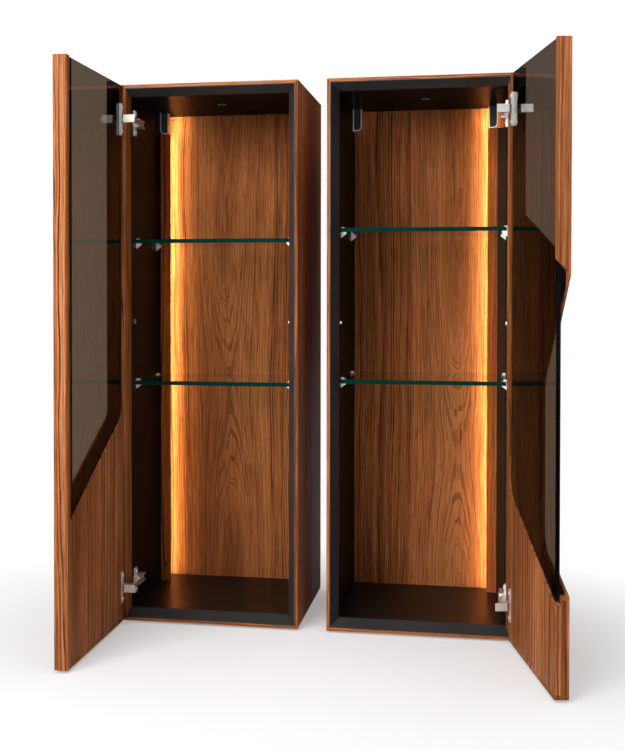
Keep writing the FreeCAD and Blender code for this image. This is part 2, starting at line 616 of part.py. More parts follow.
def build_door_hinges(hand):
    """Door plates with two ears joined by a cover, the hinge pins through the ears, and the screws."""
    frame = doors[hand]
    plates = []
    pins = []
    screws = []
    start = f"({HINGE_WALL} - door_reveal + plate_clear)"
    cover = "(pin_along + eye_radius + cover_clear)"
    near = "(pin_behind - cover_near)"
    far = "(pin_behind + cover_far)"
    ear_from = "(arm_height / 2 + ear_gap)"
    ear = [(start, "plate_board / 2"), (f"{start} + plate_width", "plate_board / 2"),
           (f"{cover} + cover_board", near), (f"{cover} + cover_board", far), (cover, far),
           ("pin_along + ear_half", "pin_behind"), ("pin_along - ear_half", "pin_behind")]
    for level, cabinet_centre in HINGE_LEVELS.items():
        centre = f"({cabinet_centre} - door_reveal)"
        seat = f"({CORE_BACK} + door_pane)" if level == "upper" else "0"
        pieces = [frame.box(f"plate_{level}", start, seat, f"{centre} - plate_height / 2",
                            "plate_width", f"plate_board - {seat}", "plate_height"),
                  frame.box(f"cover_{level}", cover, near, f"{centre} - {ear_from}",
                            "cover_board", "cover_near + cover_far", f"2 * {ear_from}")]
        bores = []
        for end, foot in (("low", f"{centre} - {ear_from} - ear_board"), ("high", f"{centre} + {ear_from}")):
            name = f"{level}_{end}"
            pieces.append(frame.post(f"ear_{name}", ear, "ear_board", foot))
            pieces.append(frame.upright(f"ear_round_{name}", "pin_along", "pin_behind", foot,
                                        "ear_half", "ear_board"))
            bores.append(frame.upright(f"ear_bore_{name}", "pin_along", "pin_behind", foot,
                                       "pin_radius + ear_play", "ear_board"))
            sign = "-" if end == "low" else "+"
            level_up = f"{centre} {sign} plate_screw_span / 2"
            screws.append(frame.disc(f"plate_screw_{name}", f"{start} + plate_width / 2", "plate_board",
                                     level_up, "screw_radius", "screw_head", "inward"))
        plates.append(cut(f"{hand}_door_plate_{level}", fuse(f"{hand}_plate_blank_{level}", pieces), bores))
        pin_foot = f"{centre} - {ear_from} - ear_board"
        pins.append(frame.upright(f"pin_{level}", "pin_along", "pin_behind", pin_foot,
                                  "pin_radius", f"2 * {ear_from} + 2 * ear_board"))
    group(f"{hand}_door_hinge_plates", plates)
    group(f"{hand}_hinge_pins", pins)
    group(f"{hand}_door_screws", screws)


def slant(hinge, free, along):
    """Height of a straight slanted edge at a place along the door."""
    return f"({hinge} + ({free} - {hinge}) * ({along}) / {DOOR_WIDTH})"


def build_left_door():
    """Walnut foot and free-edge stile, smoked pane from the slanted edge to the top."""
    frame = doors["left"]
    edge = f"({DOOR_WIDTH} - edge_strip)"

    def height(along):
        return slant("left_slant_hinge", "left_slant_free", along)

    face = [("0", "0"), (DOOR_WIDTH, "0"), (DOOR_WIDTH, DOOR_HEIGHT), (edge, DOOR_HEIGHT),
            (edge, f"{height(edge)} + pane_seat"), ("0", f"{height('0')} + pane_seat")]
    keep("left_door_face", frame.board("face", face, "-door_board", "face_board"))
    strip = f"({edge} - core_free)"
    core = [("0", "bottom_strip"), (edge, "bottom_strip"), (edge, DOOR_HEIGHT), (strip, DOOR_HEIGHT),
            (strip, f"{height(strip)} + pane_seat"), ("core_stile", f"{height('core_stile')} + pane_seat"),
            ("core_stile", DOOR_HEIGHT), ("0", DOOR_HEIGHT)]
    keep("left_door_core", frame.board("core", core, "-door_board + face_board", "core_board",
                                       rounds=[(5, "corner_round")]))
    board = [("0", "bottom_strip"), (edge, "bottom_strip"), (edge, height(edge)),
             ("inner_stile", height("inner_stile")), ("inner_stile", DOOR_HEIGHT), ("0", DOOR_HEIGHT)]
    keep("left_door_inner_board", frame.board("inner", board, CORE_BACK, f"-{CORE_BACK}",
                                              rounds=[(3, "corner_round")]))
    near = "(inner_stile + pane_gap)"
    far = f"({edge} - pane_gap)"
    pane = [(near, f"{height(near)} + pane_gap"), (far, f"{height(far)} + pane_gap"),
            (far, f"{DOOR_HEIGHT} - pane_top_gap"), (near, f"{DOOR_HEIGHT} - pane_top_gap")]
    keep("left_door_glass", frame.board("pane", pane, CORE_BACK, "door_pane",
                                        rounds=[(0, "corner_round - pane_gap")]))
    section = [(edge, "-door_board + face_board"), (DOOR_WIDTH, "-door_board + face_board"),
               (DOOR_WIDTH, "-edge_bevel"), (f"{DOOR_WIDTH} - edge_bevel", "0"), (edge, "0")]
    stile = frame.post("stile", section, DOOR_HEIGHT)
    foot = frame.box("foot", "0", "-door_board + face_board", "0",
                     edge, "door_board - face_board", "bottom_strip")
    group("left_door_edging", [stile, foot])
    build_door_hinges("left")


def build_right_door():
    """Walnut face with a window above and a grip recess at the free edge, over one deep smoked pane."""
    frame = doors["right"]
    edge = f"({DOOR_WIDTH} - edge_strip)"

    def window(along):
        return slant("window_hinge", "window_free", along)

    def height(along):
        return slant("right_slant_hinge", "right_slant_free", along)

    grip_top = "(window_free - grip_below_window)"

    def recess(reach, spread):
        """The grip recess from its bottom to its top along the free edge."""
        deep = f"({DOOR_WIDTH} - {reach})"
        return [(DOOR_WIDTH, f"grip_bottom - {spread}"), (deep, f"grip_rise - {spread}"),
                (deep, f"{grip_top} - grip_head + {spread}"), (DOOR_WIDTH, f"{grip_top} + {spread}")]

    face = [("0", "0"), (DOOR_WIDTH, "0"), *recess("grip_reach", "0"), (DOOR_WIDTH, DOOR_HEIGHT),
            (edge, DOOR_HEIGHT), (edge, window(edge)), ("0", window("0"))]
    rounds = [(3, "grip_round"), (4, "grip_round")]
    keep("right_door_face", frame.board("face", face, "-door_board", "face_board", rounds=rounds))
    reach = "(grip_reach + grip_undercut)"
    hollow = recess(reach, "grip_undercut")
    hollow_foot = f"({hollow[0][1]} + (grip_rise - grip_bottom) * edge_strip / {reach})"
    hollow_head = f"({hollow[3][1]} - grip_head * edge_strip / {reach})"
    core = [("0", "bottom_strip"), (edge, "bottom_strip"), (edge, hollow_foot), *hollow[1:3],
            (edge, hollow_head), (edge, window(edge)), ("core_stile", window("core_stile")),
            ("core_stile", DOOR_HEIGHT), ("0", DOOR_HEIGHT)]
    keep("right_door_core", frame.board("core", core, "-door_board + face_board", "core_board",
                                        rounds=rounds))
    board = [("0", "bottom_strip"), (DOOR_WIDTH, "bottom_strip"), (DOOR_WIDTH, height(DOOR_WIDTH)),
             ("inner_stile", height("inner_stile")), ("inner_stile", DOOR_HEIGHT), ("0", DOOR_HEIGHT)]
    keep("right_door_inner_board", frame.board("inner", board, CORE_BACK, f"-{CORE_BACK}",
                                               rounds=[(3, "corner_round")]))
    near = "(inner_stile + pane_gap)"
    far = f"({DOOR_WIDTH} - stile_lip - pane_gap)"
    pane = [(near, f"{height(near)} + pane_gap"), (far, f"{height(far)} + pane_gap"),
            (far, f"{DOOR_HEIGHT} - pane_top_gap"), (near, f"{DOOR_HEIGHT} - pane_top_gap")]
    keep("right_door_glass", frame.board("pane", pane, CORE_BACK, "door_pane",
                                         rounds=[(0, "corner_round - pane_gap")]))
    ceiling_back = f"({hollow[3][1]} + grip_ceiling * core_board / (door_board - face_board))"
    section = [("-door_board + face_board", hollow[3][1]), (CORE_BACK, ceiling_back),
               (CORE_BACK, DOOR_HEIGHT), ("-door_board + face_board", DOOR_HEIGHT)]
    lip = [(CORE_BACK, ceiling_back), ("0", f"{hollow[3][1]} + grip_ceiling"), ("0", DOOR_HEIGHT),
           (CORE_BACK, DOOR_HEIGHT)]
    stile = fuse("right_door_lipped_stile", [
        frame.bar("stile", edge, section, "edge_strip"),
        frame.bar("stile_lip", f"({DOOR_WIDTH} - stile_lip)", lip, "stile_lip")])
    below = [(edge, "bottom_strip"), (DOOR_WIDTH, "bottom_strip"), hollow[0], (edge, hollow_foot)]
    below_stile = frame.board("below_stile", below, "-door_board + face_board", "core_board")
    foot = frame.box("foot", "0", "-door_board + face_board", "0",
                     DOOR_WIDTH, "door_board - face_board", "bottom_strip")
    group("right_door_edging", [stile, below_stile, foot])
    build_door_hinges("right")


for hand in cabinets:
    build_carcass(hand)
    build_back(hand)
    build_light(hand)
    build_shelves(hand)
    build_hinge_arms(hand)
build_left_door()
build_right_door()

fittings = {hand: small_fittings(hand) for hand in cabinets}
group("light_sensors", [fittings[hand][0] for hand in cabinets])
group("side_caps", [cap for hand in cabinets for cap in fittings[hand][1]])
keep("cable_grommet", cable_grommet())
hangers = {hand: hanging_brackets(hand) for hand in cabinets}
group("hanging_brackets", [bracket for hand in cabinets for bracket in hangers[hand][0]])
group("bracket_inserts", [insert for hand in cabinets for insert in hangers[hand][1]])
group("wall_rails", [wall_rail(hand) for hand in cabinets])
group("shelf_clips", [clip for hand in cabinets for clip in shelf_clips(hand)])
group("hinge_mounting_plates", [plate for hand in cabinets for plate in mounting_plates(hand)])
group("mounting_screws", [screw for hand in cabinets for screw in mounting_screws(hand)])

doc.recompute()
faults = [thing.Name for thing in doc.Objects if {"Invalid", "Error"} & set(thing.State)]
faults += [label for label, thing in nodes.items() if thing.Shape.isNull() or not thing.Shape.isValid()]
if faults:
    raise SystemExit(f"these objects failed: {faults}")
os.makedirs("parts", exist_ok=True)
for label, thing in nodes.items():
    thing.Shape.exportStep(f"parts/{label}.step")
print(f"{len(nodes)} sub-parts, {sum(len(thing.Shape.Solids) for thing in nodes.values())} solids")
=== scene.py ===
"""Looks of a pair of wall display cabinets: finishes, studio light and the camera of the photograph."""

import json
import math

import bpy
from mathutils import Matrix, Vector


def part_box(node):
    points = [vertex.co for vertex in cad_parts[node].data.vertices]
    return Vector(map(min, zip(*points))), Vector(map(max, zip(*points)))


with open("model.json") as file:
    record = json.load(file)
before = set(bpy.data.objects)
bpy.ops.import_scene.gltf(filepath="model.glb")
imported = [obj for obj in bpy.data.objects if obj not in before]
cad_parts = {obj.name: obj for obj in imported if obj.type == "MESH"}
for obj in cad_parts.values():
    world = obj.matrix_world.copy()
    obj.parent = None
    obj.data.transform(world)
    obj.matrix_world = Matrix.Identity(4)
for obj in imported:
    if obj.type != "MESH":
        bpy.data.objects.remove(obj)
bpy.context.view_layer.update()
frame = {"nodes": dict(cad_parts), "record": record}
HANDS = {"left": -1, "right": 1}
WHITE = (1, 1, 1)

# Where the middle and most of a noise's values lie
NOISE_MIDDLE = 0.5
NOISE_RANGE = (0.3, 0.7)

# Walnut: linear colours of its lines and of its tone from deep to light, and stains that multiply the tone;
# the figured back panels' one is painted light, which makes up for the shade inside the cabinets
WALNUT_LINE = (0.085, 0.024, 0.008)
WALNUT_DEEP = (0.220, 0.068, 0.022)
WALNUT_MID = (0.390, 0.131, 0.045)
WALNUT_LIGHT = (0.600, 0.225, 0.088)
WALNUT_STOPS = {0.40: WALNUT_DEEP, 0.50: WALNUT_MID, 0.60: WALNUT_LIGHT}
WALNUT_SHEEN = 0.02
NO_STAIN = (1, 1, 1)
# Painted light: the figured back panels are made paler to make up for the shade inside the cabinets
FIGURED_PAINTED_LIGHT = (1.26, 1.18, 1.05)
PELMET_STAIN = (1.0, 0.68, 0.40)

# The axes that lie across, through and along the grain, and the step from one board's figure to the next
GRAIN_AXES = {"Z": "XYZ", "X": "YZX"}
GRAIN_ALONG_X = ("top_panel", "bottom_panel")
SEED_STEP = (0.37, 0.21, 0.53)

# Features of the veneer per metre across, through and along the grain
WANDER_SCALE = (8, 8, 1.5)
WAVE_SCALE = (22, 22, 5)
RAGGED_SCALE = (80, 80, 6)
CLOUD_SCALE = (6, 6, 1.2)
FIBRE_SCALE = (420, 420, 10)
BREAK_SCALE = (150, 150, 5)
PORE_SCALE = (650, 650, 26)

# Features of the veneer per metre across its rings
BANDS = 22.0
LINE_WEIGHTS = 47.0
LINES_STRAIGHT = 125.0
LINES_FIGURED = 190.0

# How far the rings stray, in metres
WANDER = 0.05
WAVE = 0.012
RAGGED_STRAIGHT = 0.0022
RAGGED_HEART = 0.006

# Shares of the tone
BAND_SHARE = 0.26
CLOUD_SHARE = 0.32
FIBRE_SHARE = 0.42

# Lines and pores: the levels of noise at which each starts and is full, and how dark the weakest are
LINE_LEVELS = (0.09, 0.02)
WEIGHT_LEVELS = (0.32, 0.58)
BREAK_LEVELS = (0.35, 0.50)
PORE_LEVELS = (0.58, 0.70)
FAINTEST_LINE = 0.25
BROKEN_LINE = 0.35
PORE_DARKNESS = 0.5

# The arched figure of the back panels: places and sizes in metres, how its lines differ, and how much painted
# shade darkens it
HEARTS = {
    "left": {"x": -0.226, "z": 0.43, "painted_shade": 0.08},
    "right": {"x": 0.268, "z": 0.30, "painted_shade": 0.44},
}
HEART_ROUND_ACROSS = 0.030
HEART_ROUND_ALONG = 0.06
HEART_REACH = 0.40
HEART_TAPER = 0.13
HEART_CORE = 0.025
HEART_EDGE = 0.110
THINNER_IN_HEART = 2.6
FAINTER_IN_HEART = 0.70

# Lacquers: linear colour, strength of the reflection and its blur, and how far colour and blur vary
BLACK = (0.0060, 0.0052, 0.0045)
LACQUER = {"colour": BLACK, "sheen": 0.02, "blur": 0.40}
BOARD_LACQUERS = {
    "lining_bottom": {"colour": BLACK, "sheen": 0.14, "blur": 0.36},
    "lining_top": {"colour": BLACK, "sheen": 0.004, "blur": 0.28},
    # Painted sheen: the front frames' black is paler, standing in for part of the reflection on their bevels
    "front_frame": {"colour": (0.030, 0.030, 0.030), "sheen": 0.20, "blur": 0.34},
    "light_filler": {"colour": (0.040, 0.018, 0.007), "sheen": 0.06, "blur": 0.40},
}
LACQUER_DARKER = 0.8
LACQUER_PALER = 1.3
LACQUER_SMOOTHER = 0.97
LACQUER_ROUGHER = 1.03

# Metals: linear colour, roughness, fine marks per metre along X, Y and Z, and how far colour and blur vary
METALS = {
    "nickel": {"colour": (0.95, 0.93, 0.90), "rough": 0.42, "marks": (40, 600, 600)},
    "chrome": {"colour": (0.78, 0.78, 0.78), "rough": 0.06, "marks": (300, 300, 300)},
    "aluminium": {"colour": (0.60, 0.60, 0.61), "rough": 0.30, "marks": (900, 900, 20)},
}
METAL_DARKER = 0.82
METAL_SMOOTHER = 0.75
METAL_ROUGHER = 1.3
ZINC_DARK = (0.42, 0.43, 0.45)
ZINC_PALE = (0.60, 0.61, 0.63)

# Glass: the colour its body spares, its density and refraction, and the shelves' edges and lit colour
SMOKE_TINT = (0.24, 0.12, 0.0)
SMOKE_DENSITY = 215.0
SMOKE_IOR = 1.15
SHELF_TINT = (0.0, 0.66, 0.58)
SHELF_DENSITY = 12.0
SHELF_IOR = 1.5
SHELF_FLAT_FROM = 0.5
SHELF_EDGE = (0.002, 0.020, 0.014)
SHELF_EDGE_SHINE = (0.0, 0.38, 0.29)
SHELF_LETS_THROUGH = (0.955, 0.955, 0.945)

# Plastics, as linear colours
PLASTIC_DARK = (0.014, 0.014, 0.014)
PLASTIC_PALE = (0.024, 0.024, 0.024)
SENSOR_DARK = (0.012, 0.012, 0.012)
SENSOR_PALE = (0.020, 0.020, 0.020)
OPAL_DARK = (0.80, 0.66, 0.48)
OPAL_PALE = (0.86, 0.74, 0.56)

# Fine structure of the finishes other than walnut, in features per metre
LACQUER_MOTTLE = 12
LACQUER_PEEL = 950
SMOKE_SWAY = 5
SHELF_SWAY = 9
METAL_STAIN = 60
ZINC_FLAKES = 130
PLASTIC_GRAIN = 2600
OPAL_GRAIN = 1800

# Each ceiling sensor's two lenses, in metres, and their looks, with a painted glint that makes them glow
# faintly
SENSOR_RADIUS = 0.010
LENS_SPREAD = 0.005
LENS_RADIUS = 0.0022
LENS_COLOUR = (0.75, 0.75, 0.72)
LENS_PAINTED_GLINT = (0.12, 0.12, 0.12)

# The light strips: their colour, the diffusers' glow, and the lamps' power and places in metres
LED_COLOUR = (1.0, 0.80, 0.47)
LED_STRENGTH = 6.0
LED_WATTS_PER_METRE = {"left": 0.60, "right": 0.85}
LED_WIDTH = 0.003
LED_THROW = 0.019
LED_INSETS = {"left": 0.0095, "right": 0.001}
LED_INSET_AT_BRACKET = -0.0035

# The studio's lamps, in metres and watts
LAMPS = {
    "key": {"place": (-1.3, -3.5, 1.8), "target": (0, -0.3, 0.5), "size": (2.0, 1.6), "watts": 114.0},
    "fill": {"place": (2.2, -2.8, 1.2), "target": (0, -0.3, 0.5), "size": (2.0, 2.0), "watts": 6.0},
    "top": {"place": (0, -0.6, 3.2), "target": (0, -0.4, 0.5), "size": (2.6, 2.6), "watts": 60.0},
}

# The white studio: levels, where 1 is white, and the directions along Y between which reflections change
STUDIO_AMBIENT = 0.13
GLOSS_BEHIND = 0.10
GLOSS_BEFORE = 1.0
TURNED_BEHIND = 0.1
TURNED_BEFORE = -0.6

# The floor: places and lengths in metres, its colour, and levels, where 1 is white
FLOOR_HEIGHT = -0.004
FLOOR_SIDE = 14.0
FLOOR_SHADE_CENTRE = (0, -0.45, 0)
FLOOR_SHADE_REACH = 0.40
FLOOR_WHITE_FROM = 0.95
FLOOR_PALE = (0.92, 0.92, 0.92)
FLOOR_GLOW = 0.30
FLOOR_GLOSS = 0.60

# The camera fitted to the photograph's edges, for an image of 625 by 750 pixels: metres, radians, millimetres
CAMERA_PLACE = (0.3287, -2.7787, 0.6608)
CAMERA_TILT = -0.0189
CAMERA_TURN = 0.1969
CAMERA_SENSOR = 36.0
CAMERA_LENS = 61.125
CAMERA_SHIFT = (0.1065, -0.0847)


class Recipe:
    """The nodes of a new material or world, whose places are the object's own coordinates in metres."""

    def __init__(self, owner):
        owner.use_nodes = True
        self.owner = owner
        self.tree = owner.node_tree
        self.tree.nodes.clear()

    def add(self, kind, inputs=None, **settings):
        node = self.tree.nodes.new(kind)
        for key, value in settings.items():
            setattr(node, key, value)
        for key, value in (inputs or {}).items():
            if isinstance(value, bpy.types.NodeSocket):
                self.tree.links.new(value, node.inputs[key])
            else:
                node.inputs[key].default_value = value
        return node

    def math(self, operation, first, second=0.0):
        return self.add("ShaderNodeMath", {0: first, 1: second}, operation=operation).outputs[0]

    def rounded(self, value, radius):
        """The distance from 0, with its tip rounded."""
        squares = self.math("ADD", self.math("POWER", value, 2.0), radius ** 2)
        return self.math("SQRT", squares)

    def swing(self, noise, reach):
        """A noise as a length to either side of 0."""
        return self.math("MULTIPLY", self.math("SUBTRACT", noise, NOISE_MIDDLE), reach)

    def between(self, value, low=0.0, high=1.0, start=0.0, end=1.0):
        """start where value is low, end where it is high, and evenly between."""
        inputs = {"Value": value, "From Min": low, "From Max": high, "To Min": start, "To Max": end}
        return self.add("ShaderNodeMapRange", inputs).outputs[0]

    def place(self):
        return self.add("ShaderNodeTexCoord").outputs["Object"]

    def split(self, vector):
        return self.add("ShaderNodeSeparateXYZ", {0: vector}).outputs

    def stretch(self, vector, scale, shift=(0, 0, 0)):
        return self.add("ShaderNodeMapping", {"Vector": vector, "Scale": scale, "Location": shift}).outputs[0]

    def noise(self, vector, scale=1.0, detail=2.0, rough=0.5):
        inputs = {"Vector": vector, "Scale": scale, "Detail": detail, "Roughness": rough}
        return self.add("ShaderNodeTexNoise", inputs).outputs["Fac"]

    def noise_along(self, value, detail=2.0, rough=0.5):
        inputs = {"W": value, "Scale": 1.0, "Detail": detail, "Roughness": rough}
        return self.add("ShaderNodeTexNoise", inputs, noise_dimensions="1D").outputs["Fac"]

    def ramp(self, value, stops):
        """The colours of stops at its positions, blended between them."""
        node = self.add("ShaderNodeValToRGB", {"Fac": value})
        elements = node.color_ramp.elements
        while len(elements) < len(stops):
            elements.new(0.5)
        for element, (position, colour) in zip(elements, stops.items()):
            element.position = position
            element.color = (*colour, 1)
        return node.outputs["Color"]

    def blend(self, factor, first, second):
        colours = [c if isinstance(c, bpy.types.NodeSocket) else (*c, 1) for c in (first, second)]
        inputs = {0: factor, 6: colours[0], 7: colours[1]}
        return self.add("ShaderNodeMix", inputs, data_type="RGBA").outputs[2]

    def bump(self, height, strength, distance):
        inputs = {"Height": height, "Strength": strength, "Distance": distance}
        return self.add("ShaderNodeBump", inputs).outputs[0]

    def shade(self, colour, **inputs):
        """The Principled shader with this base colour; other inputs have _ for spaces in their names."""
        base = colour if isinstance(colour, bpy.types.NodeSocket) else (*colour, 1)
        named = {key.replace("_", " "): value for key, value in inputs.items()}
        return self.add("ShaderNodeBsdfPrincipled", {"Base Color": base, **named}).outputs[0]

    def mix_shaders(self, factor, first, second):
        return self.add("ShaderNodeMixShader", {0: factor, 1: first, 2: second}).outputs[0]

    def absorb(self, tint, density):
        return self.add("ShaderNodeVolumeAbsorption", {"Color": (*tint, 1), "Density": density}).outputs[0]

    def finish(self, surface, volume=None):
        inputs = {"Surface": surface}
        if volume:
            inputs["Volume"] = volume
        self.add("ShaderNodeOutputMaterial", inputs)
        return self.owner


def new_material(name):
    return Recipe(bpy.data.materials.new(name))


def scaled(colour, factor):
    return [factor * part for part in colour]


def heart_rings(recipe, across, along, heart):
    """The rings of an arched figure, and how far inside the figure a point lies, from 0 to 1."""
    aside = recipe.math("SUBTRACT", across, heart["x"])
    rise = recipe.math("SUBTRACT", along, heart["z"])
    inside = recipe.between(recipe.math("ABSOLUTE", aside), low=HEART_EDGE, high=HEART_CORE)
    reached = recipe.math("DIVIDE", recipe.rounded(rise, HEART_ROUND_ALONG), HEART_REACH)
    arch = recipe.math("MULTIPLY", recipe.math("TANH", reached), HEART_TAPER * HEART_REACH)
    arch = recipe.math("MULTIPLY", arch, inside)
    return recipe.math("SUBTRACT", recipe.rounded(aside, HEART_ROUND_ACROSS), arch), inside


def grain_lines(recipe, ring, breaks, inside):
    """How dark the thin lines along the rings are: uneven in weight, broken, and finer inside a heart."""
    spacing = LINES_FIGURED if inside else LINES_STRAIGHT
    course = recipe.noise_along(recipe.math("MULTIPLY", ring, spacing), detail=1, rough=0.6)
    off_line = recipe.math("ABSOLUTE", recipe.math("SUBTRACT", course, NOISE_MIDDLE))
    uneven = recipe.noise_along(recipe.math("MULTIPLY", ring, LINE_WEIGHTS))
    weight = recipe.math("MULTIPLY", recipe.between(uneven, *WEIGHT_LEVELS, start=FAINTEST_LINE),
                         recipe.between(breaks, *BREAK_LEVELS, start=BROKEN_LINE))
    if inside:
        off_line = recipe.math("MULTIPLY", off_line, recipe.between(inside, start=1.0, end=THINNER_IN_HEART))
        weight = recipe.math("MULTIPLY", weight, recipe.between(inside, start=1.0, end=FAINTER_IN_HEART))
    return recipe.math("MULTIPLY", recipe.between(off_line, *LINE_LEVELS), weight)


def walnut(name, grain, seed, stain=NO_STAIN, heart=None):
    """Satin walnut veneer. grain is the axis it runs along; stain multiplies the tone, and for the back
    panels it is painted light; heart is a back panel's arched figure, with painted shade over it.
    """
    recipe = new_material(name)
    axes = recipe.split(recipe.place())
    across, through, along = (axes[letter] for letter in GRAIN_AXES[grain])
    board = recipe.add("ShaderNodeCombineXYZ", {0: across, 1: through, 2: along}).outputs[0]
    shift = [seed * step for step in SEED_STEP]

    def grained(scale, detail=2.0, rough=0.5):
        return recipe.noise(recipe.stretch(board, scale, shift), detail=detail, rough=rough)

    # The ring coordinate: slowly wandering, with ragged tips where a heart bends it into arches
    wander = recipe.swing(grained(WANDER_SCALE), WANDER)
    wide = recipe.math("ADD", wander, recipe.swing(grained(WAVE_SCALE), WAVE))
    ragged = grained(RAGGED_SCALE)
    if heart:
        arches, inside = heart_rings(recipe, recipe.math("ADD", across, wide), along, heart)
        reach = recipe.between(inside, start=RAGGED_STRAIGHT, end=RAGGED_HEART)
        ring = recipe.math("ADD", arches, recipe.swing(ragged, reach))
    else:
        inside = None
        stray = recipe.math("ADD", wide, recipe.swing(ragged, RAGGED_STRAIGHT))
        ring = recipe.math("ADD", recipe.math("ADD", across, through), stray)

    # Broad bands and clouds of colour, with fibres, and painted shade over the heart of each back panel
    band = recipe.noise_along(recipe.math("MULTIPLY", ring, BANDS), detail=3, rough=0.65)
    cloud = grained(CLOUD_SCALE, detail=1)
    fibre = grained(FIBRE_SCALE, detail=3, rough=0.65)
    broad = recipe.math("ADD", recipe.math("MULTIPLY", band, BAND_SHARE),
                        recipe.math("MULTIPLY", cloud, CLOUD_SHARE))
    tone = recipe.math("ADD", broad, recipe.math("MULTIPLY", fibre, FIBRE_SHARE))
    # The stain multiplies the tone; for the back panels it is painted light
    stained = {stop: [c * s for c, s in zip(tint, stain)] for stop, tint in WALNUT_STOPS.items()}
    colour = recipe.ramp(tone, stained)
    # Painted shade: the heart of each back panel is darkened, more on the right, to even out the lamps' light
    # on it
    if heart:
        colour = recipe.blend(recipe.math("MULTIPLY", inside, heart["painted_shade"]), colour, WALNUT_LINE)

    # Thin dark lines and pores
    lines = grain_lines(recipe, ring, grained(BREAK_SCALE), inside)
    colour = recipe.blend(lines, colour, WALNUT_LINE)
    pores = recipe.between(grained(PORE_SCALE, detail=1), *PORE_LEVELS)
    colour = recipe.blend(recipe.math("MULTIPLY", pores, PORE_DARKNESS), colour, WALNUT_LINE)
    rough = recipe.between(tone, *NOISE_RANGE, start=0.58, end=0.48)
    normal = recipe.bump(recipe.math("SUBTRACT", fibre, pores), strength=0.12, distance=0.0003)
    veneer = recipe.shade(colour, Roughness=rough, Specular_IOR_Level=WALNUT_SHEEN, Normal=normal)
    return recipe.finish(veneer)


def black_lacquer(name, colour, sheen, blur):
    """Sprayed lacquer with a faint mottle and orange peel."""
    recipe = new_material(name)
    place = recipe.place()
    mottle = recipe.noise(place, LACQUER_MOTTLE, detail=0)
    peel = recipe.noise(place, LACQUER_PEEL, detail=1)
    shown = recipe.blend(mottle, scaled(colour, LACQUER_DARKER), scaled(colour, LACQUER_PALER))
    rough = recipe.between(mottle, *NOISE_RANGE, start=LACQUER_SMOOTHER * blur, end=LACQUER_ROUGHER * blur)
    normal = recipe.bump(peel, strength=0.01, distance=0.0001)
    return recipe.finish(recipe.shade(shown, Roughness=rough, Specular_IOR_Level=sheen, Normal=normal))


def smoked_glass():
    """A dark pane with a brown tint."""
    recipe = new_material("smoked_glass_looks")
    sway = recipe.noise(recipe.place(), SMOKE_SWAY, detail=0)
    normal = recipe.bump(sway, strength=0.02, distance=0.002)
    surface = recipe.shade(WHITE, Roughness=0.0, IOR=SMOKE_IOR, Transmission_Weight=1.0, Normal=normal)
    return recipe.finish(surface, recipe.absorb(SMOKE_TINT, SMOKE_DENSITY))


def clear_glass():
    """Polished float glass with dark green edges, and lamps shine through it."""
    recipe = new_material("clear_glass_looks")
    sway = recipe.noise(recipe.place(), SHELF_SWAY, detail=0)
    normal = recipe.bump(sway, strength=0.02, distance=0.001)
    facing = recipe.split(recipe.add("ShaderNodeTexCoord").outputs["Normal"])
    flat = recipe.math("GREATER_THAN", recipe.math("ABSOLUTE", facing["Z"]), SHELF_FLAT_FROM)
    colour = recipe.blend(flat, SHELF_EDGE, WHITE)
    shine = recipe.blend(flat, SHELF_EDGE_SHINE, WHITE)
    glass = recipe.shade(colour, Roughness=0.0, IOR=SHELF_IOR, Transmission_Weight=flat, Specular_Tint=shine,
                         Normal=normal)
    through = recipe.add("ShaderNodeBsdfTransparent", {"Color": (*SHELF_LETS_THROUGH, 1)}).outputs[0]
    path = recipe.add("ShaderNodeLightPath").outputs
    lit = recipe.math("MAXIMUM", path["Is Shadow Ray"], path["Is Diffuse Ray"])
    surface = recipe.mix_shaders(lit, glass, through)
    return recipe.finish(surface, recipe.absorb(SHELF_TINT, SHELF_DENSITY))


def metal(name, colour, rough, marks):
    """Plated or anodised metal with fine marks and faint stains."""
    recipe = new_material(name)
    place = recipe.place()
    brushed = recipe.noise(recipe.stretch(place, marks), detail=3, rough=0.6)
    stain = recipe.noise(place, METAL_STAIN)
    shown = recipe.blend(stain, scaled(colour, METAL_DARKER), colour)
    blur = recipe.between(brushed, *NOISE_RANGE, start=METAL_SMOOTHER * rough, end=METAL_ROUGHER * rough)
    normal = recipe.bump(brushed, strength=0.01, distance=0.00002)
    return recipe.finish(recipe.shade(shown, Metallic=1.0, Roughness=blur, Normal=normal))


def zinc_steel():
    """Galvanised sheet with its crystal pattern."""
    recipe = new_material("zinc_steel_looks")
    cells = recipe.add("ShaderNodeTexVoronoi", {"Vector": recipe.place(), "Scale": ZINC_FLAKES})
    flake = recipe.split(cells.outputs["Color"])["X"]
    colour = recipe.blend(flake, ZINC_DARK, ZINC_PALE)
    rough = recipe.between(flake, start=0.28, end=0.42)
    return recipe.finish(recipe.shade(colour, Metallic=1.0, Roughness=rough))


def black_plastic():
    """Moulded plastic with a fine grain."""
    recipe = new_material("black_plastic_looks")
    grain = recipe.noise(recipe.place(), PLASTIC_GRAIN)
    colour = recipe.blend(grain, PLASTIC_DARK, PLASTIC_PALE)
    normal = recipe.bump(grain, strength=0.15, distance=0.0001)
    return recipe.finish(recipe.shade(colour, Roughness=0.5, Normal=normal))


